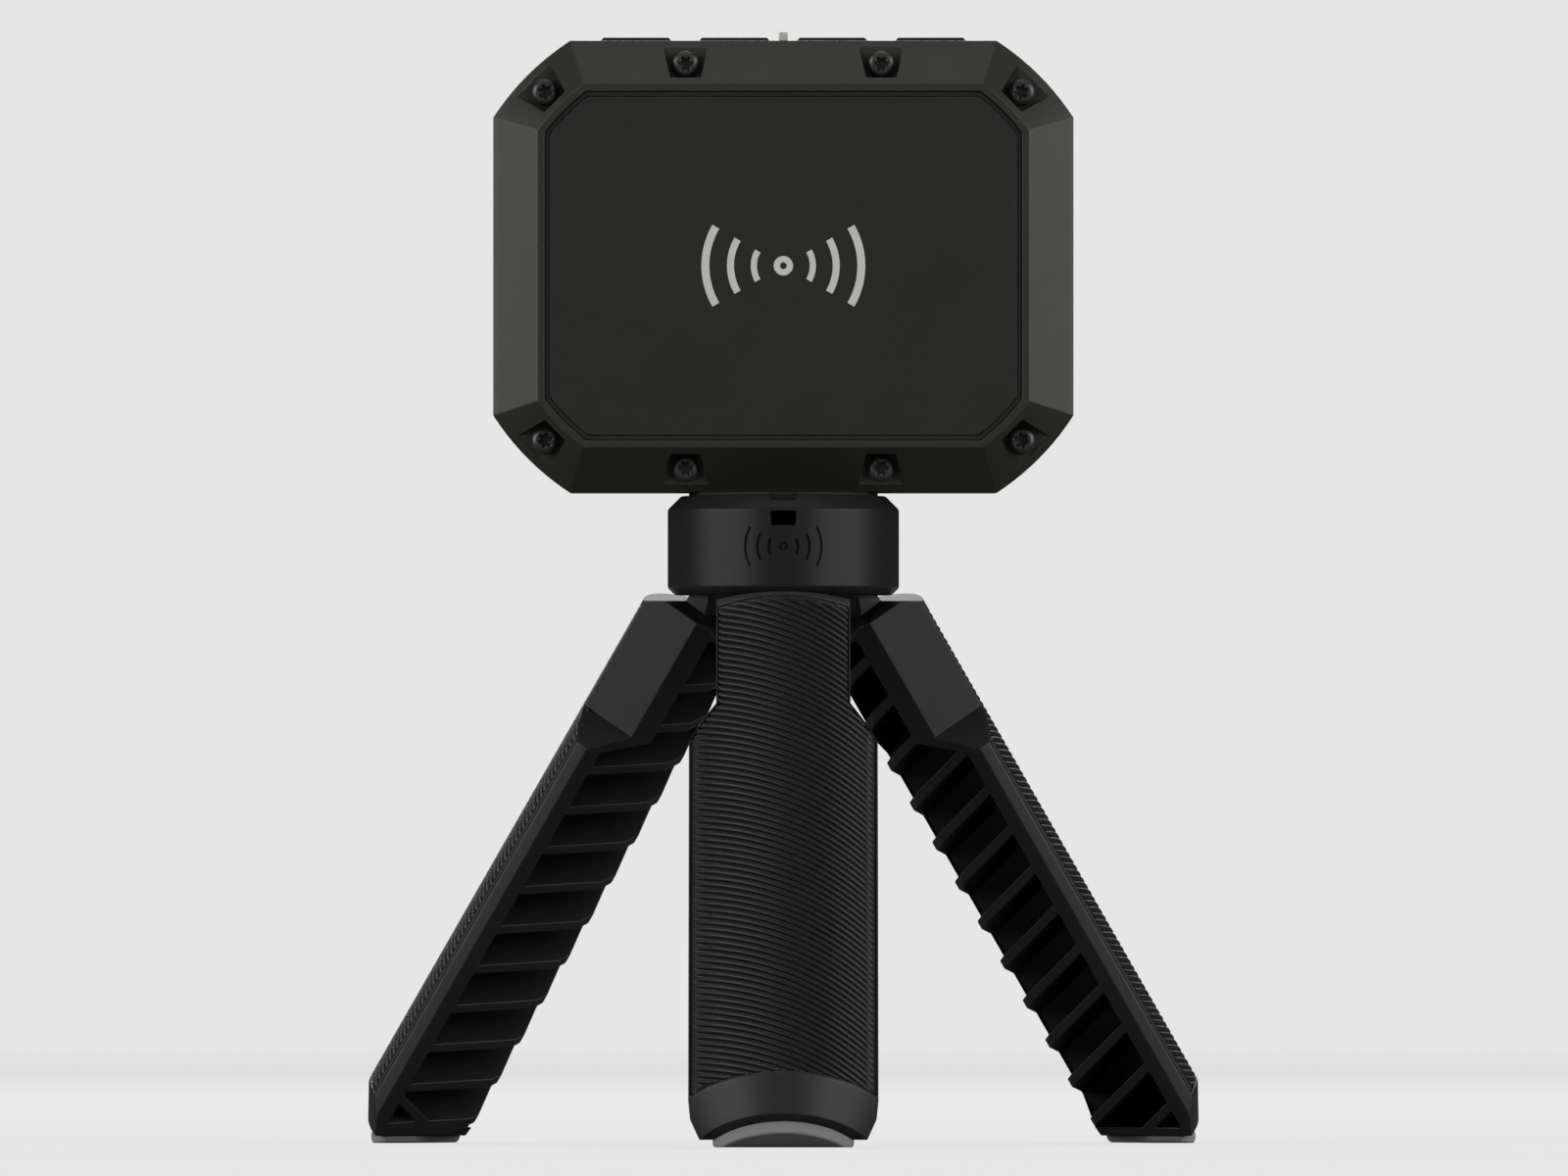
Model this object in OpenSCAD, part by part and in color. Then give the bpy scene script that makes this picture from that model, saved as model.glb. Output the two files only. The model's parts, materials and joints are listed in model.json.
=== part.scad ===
// Pocket radar launch monitor on a folding three-leg stand.
// Millimetres, +Z up, the feet stand on Z = 0 and the radar panel looks along -Y.

/* [Head] */
// Width of the head
head_w = 89; // [80:0.5:100]
// Height of the head, without the pads and the rib on top
head_h = 69.3; // [62:0.1:80]
// Depth of the head, front to back
head_d = 26; // [25:0.5:32]
// Height of the head's flat base above the floor
head_base_z = 100; // [100:0.5:110]
// Length cut off each corner of the head, along either side
corner_cut = 11.8; // [8:0.1:16]
// How far each cut corner bulges outwards
corner_bulge = 0.88; // [0.3:0.02:1.5]
// Wall thickness of the rear housing
wall = 2; // [1.6:0.1:2.4]

/* [Bezel] */
// Width of the dark outer rim around the bezel
rim_w = 0.8; // [0.4:0.1:1.4]
// Width of the sloped face, seen from the front
slope_w = 6; // [4:0.1:7]
// Depth of the sloped face, front to back
slope_d = 5.6; // [4:0.1:6]
// Width of the flat ring around the panel
ring_w = 1.1; // [0.8:0.1:2]
// Width of the gasket groove between the ring and the panel
groove_w = 0.75; // [0.5:0.05:1]

/* [Stand] */
// Opening angle of each leg, from straight down
leg_open = 33.6; // [25:0.1:38]
// Radius of the collar
collar_r = 17.76; // [17:0.01:20]
// Outer radius of the three legs folded together
leg_r = 17.75; // [17:0.01:18]
// Half width of a leg's lower part
leg_half = 14.46; // [13:0.01:14.9]
// Half width of a leg's upper part
neck_half = 10.3; // [9:0.1:11]
// Distance from a leg's top reference point to its lower end
leg_len = 106.5; // [100:0.5:120]
// Ribs inside each leg
rib_count = 13; // [6:1:13]
// Distance between ribs along the leg
rib_pitch = 7.32; // [6:0.01:7.4]

/* [Controls] */
// Radius of the power button
button_r = 5; // [4:0.1:6]
// Travel of the power button
button_travel = 0.8; // [0.4:0.1:0.8]

/* [Hidden] */
$fn = 64;

gap = 0.05;         // clearance between pieces that fit each other
eps = 0.01;         // overshoot of a cut

// ---- where the stand's axis is, so that the whole object's box is centred on the origin

leg_top_z = 85.5;   // height at which an open leg's own axis crosses the stand's axis
chin_s = 101;       // where the conical end of a leg starts, along the leg
end_r = 14.9;       // radius of a leg at its lower end
front_reach = end_r * cos(leg_open) + leg_len * sin(leg_open);
edge_a = sqrt(leg_r * leg_r - leg_half * leg_half);
rear_reach = (edge_a * cos(leg_open) + chin_s * sin(leg_open)) / 2 + leg_half * cos(30);
axis_y = (front_reach - rear_reach) / 2;

module on_axis() translate([0, axis_y, 0]) children();

// =====================================================================================
// Head. Its pieces are placed by depth, measured backwards from the front of the bezel.
// =====================================================================================

head_z = head_base_z + head_h / 2;

module in_head() translate([0, axis_y, head_z]) children();

// The head's outline, moved inwards by inset: four straight sides and four bulged corners
corner_r = (corner_cut * corner_cut / 2 + corner_bulge * corner_bulge) / (2 * corner_bulge);
corner_steps = 10;

function corner(inset) =
    let (back = (corner_r - corner_bulge) / sqrt(2),
         cx = head_w / 2 - corner_cut / 2 - back,
         cz = head_h / 2 - corner_cut / 2 - back,
         r = corner_r - inset,
         from = acos((head_w / 2 - inset - cx) / r),
         to = asin((head_h / 2 - inset - cz) / r))
    [for (k = [0 : corner_steps])
        let (t = from + (to - from) * k / corner_steps) [cx + r * cos(t), cz + r * sin(t)]];

function outline(inset) =
    let (q = corner(inset), back = [for (k = [corner_steps : -1 : 0]) q[k]])
    concat(q, [for (p = back) [-p[0], p[1]]], [for (p = q) [-p[0], -p[1]]], [for (p = back) [p[0], -p[1]]]);

// A flat shape drawn in X and Z, filling the head from depth d0 to depth d1
module slab(d0, d1) translate([0, d1 - head_d / 2, 0]) rotate([90, 0, 0]) linear_extrude(d1 - d0) children();
module outline_slab(inset, d0, d1) slab(d0, d1) polygon(outline(inset));
module ring_slab(outer, inner, d0, d1)
    slab(d0, d1) difference() { polygon(outline(outer)); polygon(outline(inner)); }

// A shell that narrows from one inset to another between two depths
module taper(inset0, d0, inset1, d1) hull() {
    outline_slab(inset0, d0, d0 + eps);
    outline_slab(inset1, d1 - eps, d1);
}

// A round piece lying along the head's depth
module rod(r, d0, d1) translate([0, d1 - head_d / 2, 0]) rotate([90, 0, 0]) cylinder(h = d1 - d0, r = r);

// ---- depths and insets of the head's layers

part_d = slope_d + 1;                       // parting line of bezel and rear housing
ring_in = rim_w + slope_w;                  // inset of the flat ring's outer edge
groove_in = ring_in + ring_w;               // inset of the groove's outer edge
panel_in = groove_in + groove_w;            // inset of the panel's edge
panel_d = 0.35;                             // depth of the panel's front
ledge_d = 2.1;                              // depth of the ledge that the panel lies on
ledge_back = ledge_d + 1.5;
window_in = panel_in + 1.6;
rib_out = ring_in + 0.1;                    // sealing wall, outer and inner inset
rib_in = rib_out + 1;
seal_t = 1;
back_in = 4.2;                              // how far the rear edge is cut in
back_d = head_d - 5.5;                      // where that cut starts
floor_d = head_d - 2.5;                     // inner face of the rear wall

// ---- bezel screws: angle, position and pocket of each

screw_head_r = 2;
screw_r = 1.2;
screw_len = 11;
pocket_d = slope_d - 0.35;                  // depth of a screw pocket's flat floor
boss_r = 3.2;
boss_split = pocket_d + 2.6;                // where bezel boss and housing boss meet
boss_end = pocket_d + screw_len + 1;
corner_screw = [36.5, 26.7];
side_screw = [15, 31];

module at_screws() {
    for (x = [-1, 1], z = [-1, 1]) {
        translate([x * corner_screw[0], 0, z * corner_screw[1]])
            rotate([0, x * (90 - z * 45), 0]) children();
        translate([x * side_screw[0], 0, z * side_screw[1]]) rotate([0, 90 - z * 90, 0]) children();
    }
}

// Six round lobes around a core, for a six-lobe screw socket
module six_lobe(r) {
    circle(r = r * 0.72);
    for (t = [0 : 60 : 300]) rotate(t) translate([r * 0.78, 0]) circle(r = r * 0.22);
}

module bezel_screw() {
    difference() {
        union() {
            rod(screw_head_r, pocket_d - 1.1, pocket_d);
            translate([0, pocket_d - 1.1 - head_d / 2, 0]) rotate([90, 0, 0])
                cylinder(h = 0.4, r1 = screw_head_r, r2 = screw_head_r - 0.5);
        }
        slab(-1, pocket_d - 0.15) six_lobe(1.15);
    }
    rod(screw_r, pocket_d, pocket_d + screw_len);
}

module bezel_screws() color("#8d8f92") in_head() at_screws() bezel_screw();

module front_bezel() color("#4a4a48") in_head() difference() {
    union() {
        taper(ring_in, 0, rim_w, slope_d);
        taper(rim_w, slope_d - eps, 0, slope_d + 0.6);
        outline_slab(0, slope_d + 0.6 - eps, part_d);
        at_screws() rod(boss_r, part_d - 0.3, boss_split);
    }
    difference() {
        union() {
            taper(rib_in, ledge_back, wall + 0.6, part_d + eps);
            outline_slab(window_in, -1, head_d);
        }
        at_screws() rod(boss_r, pocket_d, boss_split);
        ring_slab(rib_out, rib_in, ledge_back - eps, part_d + 1);
    }
    outline_slab(groove_in, -1, ledge_d);
    ring_slab(-2, wall + 0.1, part_d, boss_split + 1);
    at_screws() {
        slab(-1, pocket_d) polygon([[-3.4, 2.5], [-2.3, -2.15], [2.3, -2.15], [3.4, 2.5]]);
        rod(screw_r + 0.15, 0, boss_split + 1);
    }
}

module radome_panel() color("#322f2d") in_head() outline_slab(panel_in + gap, panel_d, ledge_d);

module panel_gasket() color("#3c3c3c") in_head()
    ring_slab(groove_in + gap, panel_in, panel_d + 0.15, ledge_d);

// Boss for the threaded insert in the middle of the base
insert_r = 4.8;
insert_len = 9;
insert_boss_r = 6.3;

module from_base() translate([0, 0, -head_h / 2]) children();

usb_x = -22;
usb_z = -18;
button_z = 12;
led_z = 22.5;
cap_w = 15.4;
cap_h = 8.4;
cap_t = 1.3;
hinge_r = 0.75;
hinge_z = usb_z - cap_h / 2 + hinge_r;
hinge_d = head_d - hinge_r - 0.1;
recess_d = head_d - 1.9;
cap_pin_r = 0.4;
post = [29, 19];
board_d = 16.2;
board_t = 1.2;

module at_posts() for (x = [-1, 1], z = [-1, 1]) translate([x * post[0], 0, z * post[1]]) children();

module rear_housing() color("#2e2e2e") in_head() difference() {
    union() {
        difference() {
            union() {
                outline_slab(0, part_d, back_d);
                taper(0, back_d - eps, back_in, head_d);
            }
            outline_slab(wall, part_d - 1, back_d);
            taper(wall, back_d - eps, back_in + 1, floor_d);
        }
        intersection() {
            union() {
                at_screws() rod(boss_r, boss_split, boss_end);
                intersection() {
                    from_base() cylinder(h = insert_len + 1.5, r = insert_boss_r);
                    outline_slab(0, part_d + seal_t, floor_d);
                }
                ring_slab(rib_out, rib_in, part_d + seal_t, floor_d + eps);
                at_posts() rod(2.2, board_d + board_t, floor_d + eps);
            }
            outline_slab(wall / 2, part_d, floor_d + 0.5);
        }
    }
    at_screws() rod(screw_r + gap, 0, boss_end - 0.5);
    at_posts() rod(0.85, 0, floor_d - 1);
    from_base() translate([0, 0, -1]) cylinder(h = insert_len + 1, r = insert_r);
    translate([0, 0, button_z]) {
        rod(8, head_d - 0.8, head_d + 1);
        rod(button_r + 0.2, floor_d - 1, head_d + 1);
    }
    translate([0, 0, led_z]) rod(1.3, floor_d - 1, head_d + 1);
    translate([usb_x, 0, usb_z]) {
        slab(recess_d, head_d + 1) translate([-cap_w / 2 - 0.4, -cap_h / 2 - 1.9])
            square([cap_w + 0.8, cap_h + 2.3]);
        slab(floor_d - 1, recess_d + eps) square([8.2, 3.2], center = true);
    }
    translate([usb_x, hinge_d - head_d / 2, hinge_z]) rotate([0, 90, 0])
        cylinder(h = cap_w + 3, r = cap_pin_r + 0.02, center = true);
}

module housing_seal() color("#c8572b") in_head()
    ring_slab(rib_out + gap, rib_in - gap, part_d, part_d + seal_t);

thread_r = 3.175;
stud_r = 3.05;
stud_len = 6.35;     // five turns of a 1/4"-20 thread

module thread_insert() color("#c2a14d") in_head() from_base() difference() {
    cylinder(h = insert_len - 0.1, r = insert_r);
    translate([0, 0, -1]) cylinder(h = insert_len - 0.2, r = thread_r);
}

pad_y = [-5.5, 9.5];

module top_pads() color("#1d1d1d") in_head() for (x = [-22.6, -7.5, 7.5, 22.6])
    translate([x, pad_y[1], head_h / 2]) rotate([90, 0, 0]) linear_extrude(pad_y[1] - pad_y[0])
        polygon([[-5.4, 0], [5.4, 0], [5, 0.5], [-5, 0.5]]);

module sight_rib() color("#9d9d9d") in_head()
    translate([-1.35 / 2, pad_y[0], head_h / 2]) cube([1.35, pad_y[1] - pad_y[0], 1.35]);

// ---- radar

radar_t = 1.2;

module radar_board() color("#1f5a3a") in_head() outline_slab(rib_in + 1.2, ledge_back, ledge_back + radar_t);

// Patches of one transmitting and two receiving arrays
module patch_array(columns, rows) for (i = [0 : columns - 1], j = [0 : rows - 1])
    translate([(i - (columns - 1) / 2) * 6.2, (j - (rows - 1) / 2) * 6.2]) square(3.6, center = true);

module antenna_patches() color("#c98a3f") in_head() slab(ledge_back - 0.2, ledge_back) {
    translate([-18, 0]) patch_array(2, 6);
    translate([9, 10.5]) patch_array(4, 2);
    translate([9, -10.5]) patch_array(4, 2);
}

module shield_cans() color("#b9bbbd") in_head() for (x = [-13, 13])
    translate([x, 0, 0]) difference() {
        slab(ledge_back + radar_t, ledge_back + radar_t + 2.5) square([20, 22], center = true);
        slab(0, ledge_back + radar_t + 2.2) square([19.4, 21.4], center = true);
    }

// ---- battery and main board

battery_d = 8.6;
battery_back = 15.2;
battery_h = 34;
tab_x = 4;
tray_d = 15.4;
tray_t = 0.8;

module battery() color("#8fa3b5") in_head() slab(battery_d, battery_back)
    square([50, battery_h], center = true);

module battery_tray() color("#202428") in_head() difference() {
    union() {
        slab(tray_d, tray_d + tray_t) square([64, 44], center = true);
        for (x = [-1, 1]) translate([x * 25.7, 0, 0])
            slab(ledge_back + radar_t, tray_d + eps) square([1, 30], center = true);
    }
    at_posts() rod(screw_r, 0, head_d);
    for (x = [-1, 1]) translate([x * tab_x, 0, battery_h / 2])
        slab(0, head_d) square([4.6, 1.2], center = true);
}

module battery_tabs() color("#c9c9c9") in_head() for (x = [-1, 1])
    translate([x * tab_x, 0, battery_h / 2 + 0.1])
        slab(battery_d + 3, board_d) square([4, 0.2], center = true);

module main_board() color("#1d4f6e") in_head() difference() {
    slab(board_d, board_d + board_t) square([66, 46], center = true);
    at_posts() rod(screw_r, 0, head_d);
}

module board_screws() color("#a8a8a8") in_head() at_posts() difference() {
    union() {
        rod(1.6, tray_d - 1.2, tray_d);
        rod(0.8, tray_d, floor_d - 1.2);
    }
    slab(0, tray_d - 0.5) square([1.8, 0.5], center = true);
    slab(0, tray_d - 0.5) square([0.5, 1.8], center = true);
}

// Processor, memory, radio, level sensor and charger
module board_chips() color("#18181a") in_head() {
    chips = [[16, 0, 9, 9], [27, 8, 6, 4], [-16, 4, 7, 7], [-27, 6, 4, 4], [10, -14, 5, 5], [22, -14, 8, 5]];
    for (c = chips) translate([c[0], 0, c[1]])
        slab(board_d + board_t, board_d + board_t + 1) square([c[2], c[3]], center = true);
}

flex_x = 33.2;

module flex_cable() color("#b8742c") in_head() translate([flex_x, 0, 0])
    slab(ledge_back + radar_t, board_d + board_t + 1.2) square([0.3, 12], center = true);

module flex_connectors() color("#e8e2d2") in_head() {
    translate([flex_x - 1.65, 0, 0]) slab(ledge_back + radar_t, ledge_back + radar_t + 1.5)
        square([3, 14], center = true);
    translate([flex_x - 1.65, 0, 0]) slab(board_d + board_t, board_d + board_t + 1.2)
        square([3, 14], center = true);
}

// ---- USB socket and its hinged cap

module usb_socket() color("#b5b7b9") in_head() translate([usb_x, 0, usb_z]) difference() {
    slab(board_d + board_t, recess_d - 0.1) square([8, 3], center = true);
    slab(board_d + board_t + 1, head_d) square([7.4, 2.5], center = true);
}

module usb_socket_tongue() color("#18181a") in_head() translate([usb_x, 0, usb_z])
    slab(board_d + board_t + 1, recess_d - 2.2) square([5, 0.6], center = true);

module usb_cap() color("#1c1c1c") in_head() translate([usb_x, 0, 0]) difference() {
    union() {
        translate([0, 0, usb_z + hinge_r / 2]) slab(head_d - 0.1 - cap_t, head_d - 0.1)
            square([cap_w, cap_h - hinge_r], center = true);
        translate([0, 0, usb_z]) slab(head_d - 2.4, head_d - cap_t)
            square([6.6, 1.7], center = true);
        translate([0, hinge_d - head_d / 2, hinge_z]) rotate([0, 90, 0])
            cylinder(h = cap_w, r = hinge_r, center = true);
    }
    translate([0, hinge_d - head_d / 2, hinge_z]) rotate([0, 90, 0])
        cylinder(h = cap_w + 1, r = cap_pin_r + gap, center = true);
}

module usb_cap_pin() color("#a8a8a8") in_head() translate([usb_x, hinge_d - head_d / 2, hinge_z])
    rotate([0, 90, 0]) cylinder(h = cap_w + 2.6, r = cap_pin_r, center = true);

// ---- power button and status light

flange_d = floor_d - 1.4;

module power_button() color("#3a3a3a") in_head() translate([0, 0, button_z]) {
    rod(button_r, flange_d + 0.9, head_d - 0.1);
    rod(button_r + 1.2, flange_d, flange_d + 1);
}

module button_seal() color("#141414") in_head() translate([0, 0, button_z]) difference() {
    rod(button_r + 1.4, flange_d + 1, floor_d);
    rod(button_r + 0.3, 0, head_d);
}

module power_switch() color("#d0d0d0") in_head() translate([0, 0, button_z]) {
    slab(board_d + board_t, flange_d - button_travel - 0.9) square(6, center = true);
    rod(1.6, flange_d - button_travel - 0.9, flange_d - button_travel - 0.05);
}

module status_led() color("#e6e6c8") in_head() translate([0, 0, led_z])
    slab(board_d + board_t, board_d + board_t + 0.6) square([1.6, 0.8], center = true);

module light_pipe() color("#e4eef2") in_head() translate([0, 0, led_z])
    rod(1.25, board_d + board_t + 0.8, head_d - 0.1);

// =====================================================================================
// Stand: collar, hub and what they hold
// =====================================================================================

collar_bottom = 84.3;
collar_top = 99.5;
ceiling_z = 94;
cavity_r = 16.3;
hinge_m = 12;                                        // distance of a leg's pin from the stand's axis
hinge_h = leg_top_z + hinge_m * tan(leg_open / 2);   // height of the pins
knuckle_r = 2.6;
knuckle_half = 3.6;
pin_r = 1;
ear_in = 4.1;
ear_out = 6.1;
hub_z = hinge_h + knuckle_r + 0.3;

module collar() color("#38383a") on_axis() difference() {
    rotate_extrude($fn = 128) polygon([
        [0, ceiling_z], [cavity_r, ceiling_z], [cavity_r, collar_bottom], [collar_r - 1.1, collar_bottom],
        [collar_r, collar_bottom + 1.1], [collar_r, collar_top - 2.1], [collar_r - 2.1, collar_top],
        [0, collar_top]
    ]);
    translate([0, 0, ceiling_z - 1]) cylinder(h = 3.5, r = 6.1);
    cylinder(h = 200, r = stud_r + 0.1);
    for (t = [90, 210, 330]) rotate(t) translate([12.5, 0, ceiling_z - 1]) cylinder(h = 4.8, r = 1.3);
    lanyard_slot();
}

// A slot in the collar's side that comes out at its top edge, leaving a bar between
module lanyard_slot() {
    translate([0, -collar_r - 1, 95.9]) rotate([-90, 0, 0]) linear_extrude(6) offset(r = 0.5, $fn = 24)
        square([3, 1.2], center = true);
    translate([-2.1, -collar_r + 3, 94.8]) cube([4.2, 2.4, 6]);
    translate([-2.1, -collar_r - 1, 98.8]) cube([4.2, 5, 2]);
}

module leg_hub() color("#26282a") on_axis() difference() {
    union() {
        translate([0, 0, hub_z]) cylinder(h = ceiling_z - hub_z, r = cavity_r - 0.1);
        translate([0, 0, 86]) cylinder(h = ceiling_z - 86, r = 5);
        for (t = [-90, 30, 150], side = [-1, 1]) rotate(t)
            translate([hinge_m - 2.8, side * (ear_in + ear_out) / 2, hinge_h - knuckle_r])
                translate([0, (ear_in - ear_out) / 2, 0])
                cube([5.4, ear_out - ear_in, ceiling_z - hinge_h + knuckle_r]);
    }
    for (t = [-90, 30, 150]) rotate(t) translate([hinge_m, 0, hinge_h]) rotate([90, 0, 0])
        cylinder(h = 20, r = pin_r + 0.02, center = true);
    for (t = [90, 210, 330]) rotate(t) translate([12.5, 0, 80]) cylinder(h = 20, r = 1.3);
}

module hub_screws() color("#a8a8a8") on_axis() for (t = [90, 210, 330]) rotate(t)
    translate([12.5, 0, 0]) difference() {
        union() {
            translate([0, 0, hub_z - 1.5]) cylinder(h = 1.5, r = 2.2);
            translate([0, 0, hub_z]) cylinder(h = 5, r = 1.25);
        }
        for (q = [0, 90]) rotate(q) translate([-1.2, -0.3, hub_z - 2]) cube([2.4, 0.6, 1.2]);
    }

module mount_stud() color("#c4c6c8") on_axis() {
    translate([0, 0, ceiling_z + 0.05]) cylinder(h = 2.35, r = 6);
    translate([0, 0, ceiling_z + 2]) cylinder(h = head_base_z + stud_len - ceiling_z - 2, r = stud_r);
}

module leg_pins() color("#b8babc") on_axis() for (t = [-90, 30, 150]) rotate(t)
    translate([hinge_m, 0, hinge_h]) rotate([90, 0, 0]) cylinder(h = 2 * ear_out, r = pin_r, center = true);

module friction_washers() color("#8f7a4a") on_axis()
    for (t = [-90, 30, 150], side = [-1, 1]) rotate(t)
        translate([hinge_m, side * (knuckle_half + ear_in) / 2, hinge_h]) rotate([90, 0, 0]) difference() {
            cylinder(h = 0.35, r = 2.3, center = true);
            cylinder(h = 1, r = pin_r + gap, center = true);
        }

module mount_pad() color("#141414") on_axis() translate([0, 0, collar_top]) difference() {
    cylinder(h = head_base_z - collar_top, r = 14.5);
    translate([0, 0, -1]) cylinder(h = 3, r = 4);
    translate([0, -14.5, 0]) cube([4.4, 7, 4], center = true);
}

// =====================================================================================
// Legs. Each is drawn upright: X is outwards, Y is sideways and the leg runs down -Z.
// =====================================================================================

skin_t = 1.4;        // thickness of the grip
edge_w = 0.35;       // smooth edge beside the grip
shell_r = 14.3;      // inside radius of a leg's wall
side_t = 2;          // thickness of a leg's side walls
top_s = 10.2;        // where the side walls start
web_s = 12.4;        // underside of the web that joins them at the top
grip_top = 13.5;
grip_end = 100.4;
flare = [31.2, 35.4]; // where the leg starts and ends widening, along the leg
side_lean = 9;       // how far the side faces lean inwards
neck_a = sqrt(leg_r * leg_r - neck_half * neck_half);
flare_w = (neck_a - edge_a) * sin(side_lean) + (leg_half - neck_half) * cos(side_lean);
leg_gap = 0.2;       // from a leg's inner faces to the planes between the folded legs
rib_t = 1.5;
rib_tilt = 25;
rib_first = 18.5;    // where the first rib is, along the leg
rib_top = [1.3, 12.4]; // the ribs' inner edge: distance outwards and along the leg, at both ends
rib_low = [0.7, 94];
brace_s = 105;

// Distance along the leg at which an open leg is at height z, at distance a from its own axis
function at_height(z, a) = (leg_top_z - z + a * sin(leg_open)) / cos(leg_open);

// Places a leg that is drawn upright at its open position, in the direction turn
module open_leg(turn) on_axis() rotate([0, 0, turn]) translate([0, 0, leg_top_z]) rotate([0, -leg_open, 0])
    children();

// The full round body that three legs make together, with the conical lower end
module leg_round(r) rotate_extrude($fn = 96)
    polygon([[0, 0], [r, 0], [r, -chin_s], [r - leg_r + end_r, -leg_len], [0, -leg_len]]);

// One third of that round body, with its flat sides moved in by inset
module leg_wedge(inset) {
    start = inset / sin(60);
    translate([0, 0, -120]) linear_extrude(130)
        polygon([[start, 0], [40, (40 - start) * tan(60)], [40, -(40 - start) * tan(60)]]);
}

// Everything on one side of a leg's side face, which is narrow above and wide below and leans inwards
module leg_side(inset, neck_inset) translate([neck_a, neck_half - inset, 0]) rotate(side_lean)
    rotate([90, 0, 90]) linear_extrude(60, center = true) polygon([
        [-60, 0], [-neck_inset, 0], [-neck_inset, -flare[0]],
        [flare_w, -flare[1]], [flare_w, -120], [-60, -120]
    ]);

// Both side faces moved in by inset, and by neck_inset more in the upper part
module leg_sides(inset, neck_inset = 0) intersection() {
    leg_side(inset, neck_inset);
    mirror([0, 1, 0]) leg_side(inset, neck_inset);
}

// A shape drawn in X and Z, as wide as the leg
module across(width) rotate([90, 0, 0]) linear_extrude(width, center = true) children();

module leg_blank() intersection() {
    leg_round(leg_r);
    leg_wedge(leg_gap);
    leg_sides(0);
    across(40) polygon([
        [rib_top[0], -13], [4.6, -top_s], [11.65, -top_s], [14.3, -11.96], [18, -12.75],
        [18, -leg_len], [7.8, -leg_len], [1.7, -at_height(1.1, 1.7)],
        [rib_low[0], -at_height(2.2, rib_low[0])], [rib_low[0], -rib_low[1]]
    ]);
}

module leg_grip() intersection() {
    difference() {
        leg_round(leg_r);
        translate([0, 0, -120]) cylinder(h = 130, r = leg_r - skin_t, $fn = 96);
    }
    leg_sides(edge_w);
    across(40) polygon([[0, -grip_top], [18, -grip_top], [18, -grip_end], [0, -grip_end]]);
}

module leg_cavity() intersection() {
    translate([0, 0, -120]) cylinder(h = 130, r = shell_r);
    leg_sides(side_t, 0.9);
    across(40) polygon([
        [-1, -web_s], [20, -web_s], [20, -at_height(4.6, 15)], [8, -at_height(2.4, 8)],
        [-1, -at_height(2.4, -1)]
    ]);
}

// A rib across the leg, tilted sideways
module leg_rib(s, tilt) translate([0, 0, -s]) rotate([-tilt, 0, 0]) translate([0, -25, -rib_t / 2])
    cube([20, 50, rib_t]);

module leg_ribs() intersection() {
    translate([0, 0, -120]) cylinder(h = 130, r = shell_r + 0.2);
    leg_sides(side_t / 2);
    leg_wedge(leg_gap);
    across(40) polygon([
        [rib_top[0], -rib_top[1]], [16, -rib_top[1]], [16, 1 - leg_len], [7.6, 1 - leg_len],
        [1.7, -at_height(1.9, 1.7)], [rib_low[0], -at_height(2.9, rib_low[0])], [rib_low[0], -rib_low[1]]
    ]);
    union() {
        for (k = [0 : rib_count - 1]) leg_rib(rib_first + k * rib_pitch, rib_tilt);
        intersection() {
            leg_rib(brace_s, -rib_tilt);
            translate([0, 4, -120]) cube([20, 20, 40]);
        }
    }
}

hinge_s = hinge_m * tan(leg_open / 2);

module leg_neck() {
    translate([hinge_m, 0, -hinge_s]) rotate([90, 0, 0])
        cylinder(h = 2 * knuckle_half, r = knuckle_r, center = true);
    across(2 * knuckle_half) polygon([
        [9.5, -hinge_s - 0.5], [14.5, -hinge_s - 0.5], [13.9, -5.6], [11.6, -8.6],
        [11.6, -top_s - 0.5], [7.2, -top_s - 0.5]
    ]);
}

foot_top = 3.4;      // how far the rubber foot is let into the leg

module leg_foot() {
    sole_s = at_height(0, 9.2);
    intersection() {
        translate([0, 0, -120]) cylinder(h = 30, r = 13.3);
        leg_wedge(0.5);
        across(21.4) polygon([
            [4.3, -at_height(0, 4.3)], [9.2, -sole_s], [14, -sole_s],
            [14, -leg_len], [7.8, -leg_len], [4.3, -at_height(1.1, 4.3)]
        ]);
    }
    intersection() {
        translate([0, 0, -120]) cylinder(h = 30, r = 11.9);
        leg_wedge(2);
        across(19) polygon([
            [4.3, -at_height(0.5, 4.3)], [8, -leg_len - eps], [12, -leg_len - eps],
            [12, -sole_s + foot_top], [8, -sole_s + foot_top], [4.3, -at_height(1.9, 4.3)]
        ]);
    }
}

module leg_frame() difference() {
    union() {
        difference() {
            leg_blank();
            leg_grip();
            leg_cavity();
        }
        leg_ribs();
        leg_neck();
    }
    leg_foot();
    translate([hinge_m, 0, -hinge_s]) rotate([90, 0, 0]) cylinder(h = 20, r = pin_r + gap, center = true);
}

module frame_at(turn) color("#3a3a3c") open_leg(turn) leg_frame();
module grip_at(turn) color("#2c2c2e") open_leg(turn) leg_grip();
module foot_at(turn) color("#6a6a6a") open_leg(turn) leg_foot();

module front_leg_frame() frame_at(-90);
module front_leg_grip() grip_at(-90);
module front_leg_foot() foot_at(-90);
module right_leg_frame() frame_at(30);
module right_leg_grip() grip_at(30);
module right_leg_foot() foot_at(30);
module left_leg_frame() frame_at(150);
module left_leg_grip() grip_at(150);
module left_leg_foot() foot_at(150);

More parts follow.
